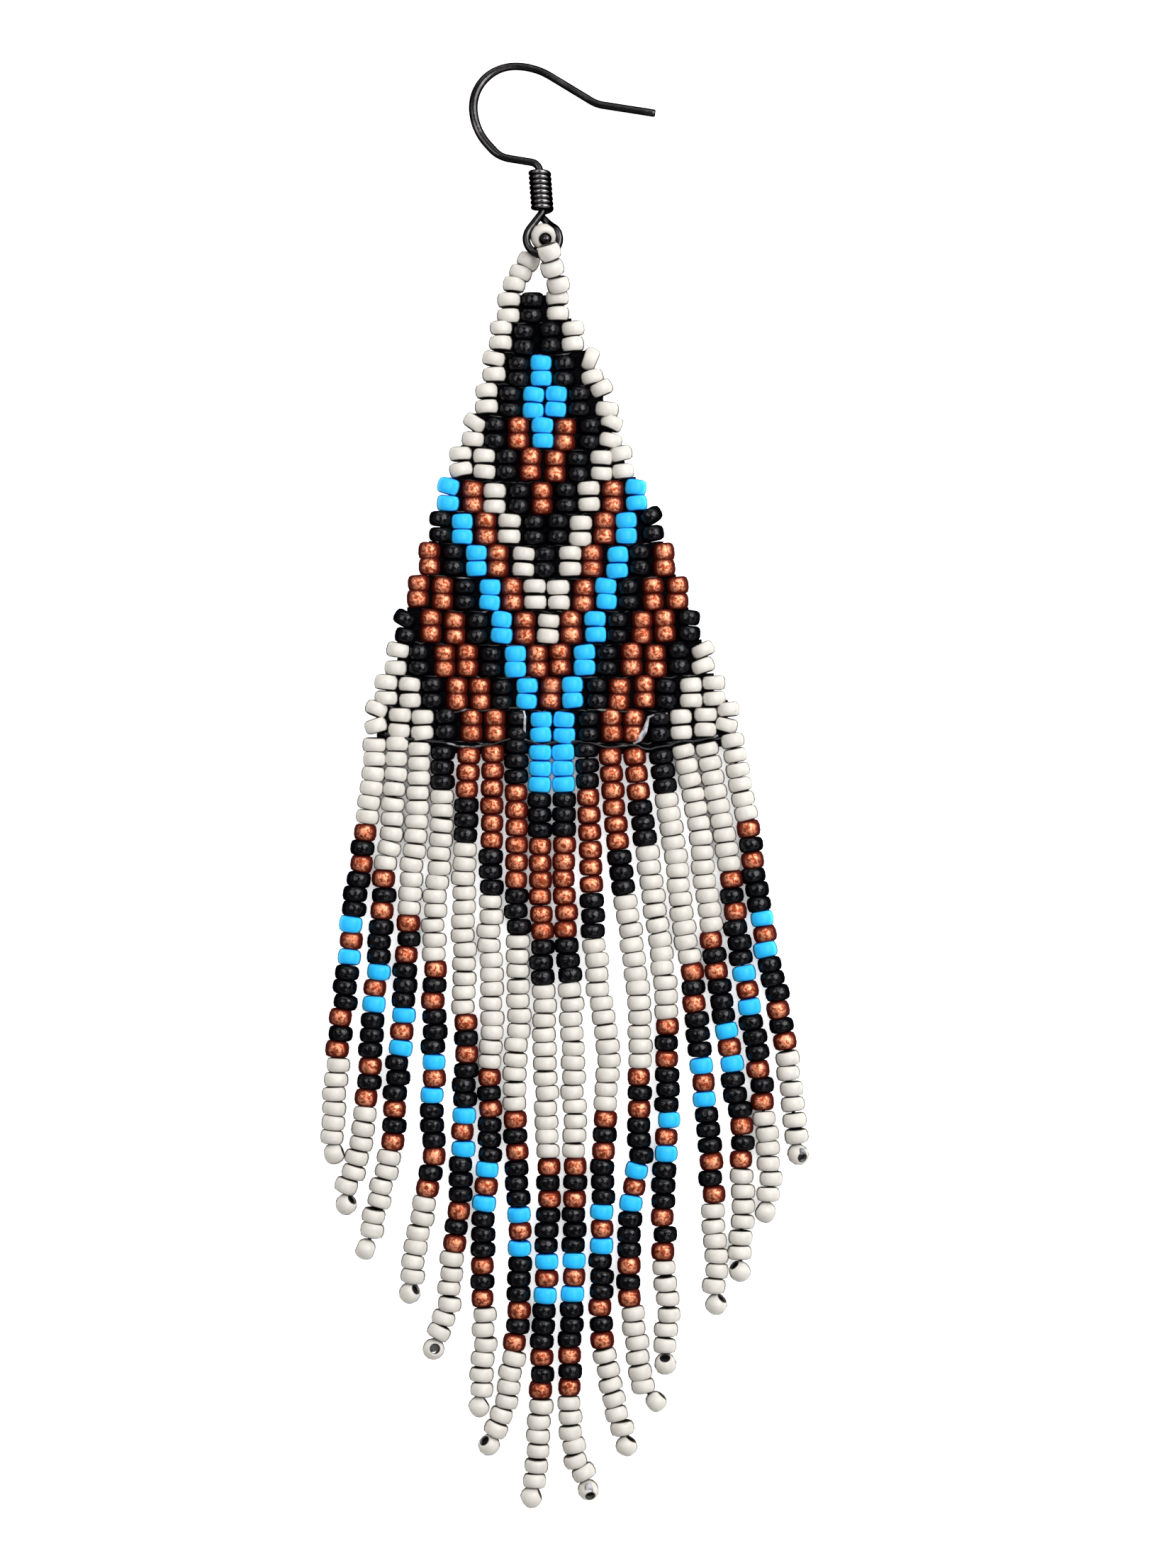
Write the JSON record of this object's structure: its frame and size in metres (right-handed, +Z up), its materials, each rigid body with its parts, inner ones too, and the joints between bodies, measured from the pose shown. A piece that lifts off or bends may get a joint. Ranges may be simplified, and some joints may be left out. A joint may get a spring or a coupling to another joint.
{
  "type": "beaded fringe earring",
  "caption": "Drop earring of glass seed beads: a bent ear wire, a small bead loop, a triangular woven panel in a stepped pattern and a long tapering fringe of bead strings.",
  "frame": {"origin": "middle of the earring's footprint, on the surface that it lies on", "axes": "+Y along the earring from the fringe to the ear wire, +X to the right seen from above, +Z up from the surface"},
  "size_m": [0.0458, 0.136, 0.005],
  "materials": {
    "ear_wire": "dark gunmetal plating, polished",
    "white_beads": "opaque warm white glass, satin",
    "black_beads": "opaque black glass, glossy",
    "copper_beads": "copper lined metallic glaze, mottled",
    "blue_beads": "opaque sky blue glass, glossy",
    "thread": "dark nylon beading thread"
  },
  "bodies": {
    "root": {"ear_hook": "ear_wire", "hook_coil": "ear_wire", "bead_loop": "white_beads", "woven_panel": "black_beads", "strand_01": "white_beads", "strand_02": "white_beads", "strand_03": "white_beads", "strand_04": "white_beads", "strand_05": "white_beads", "strand_06": "white_beads", "strand_07": "white_beads", "strand_08": "white_beads", "strand_09": "white_beads", "strand_10": "white_beads", "strand_11": "white_beads", "strand_12": "white_beads", "strand_13": "white_beads", "strand_14": "white_beads", "strand_15": "white_beads", "strand_16": "white_beads"}
  },
  "joints": []
}
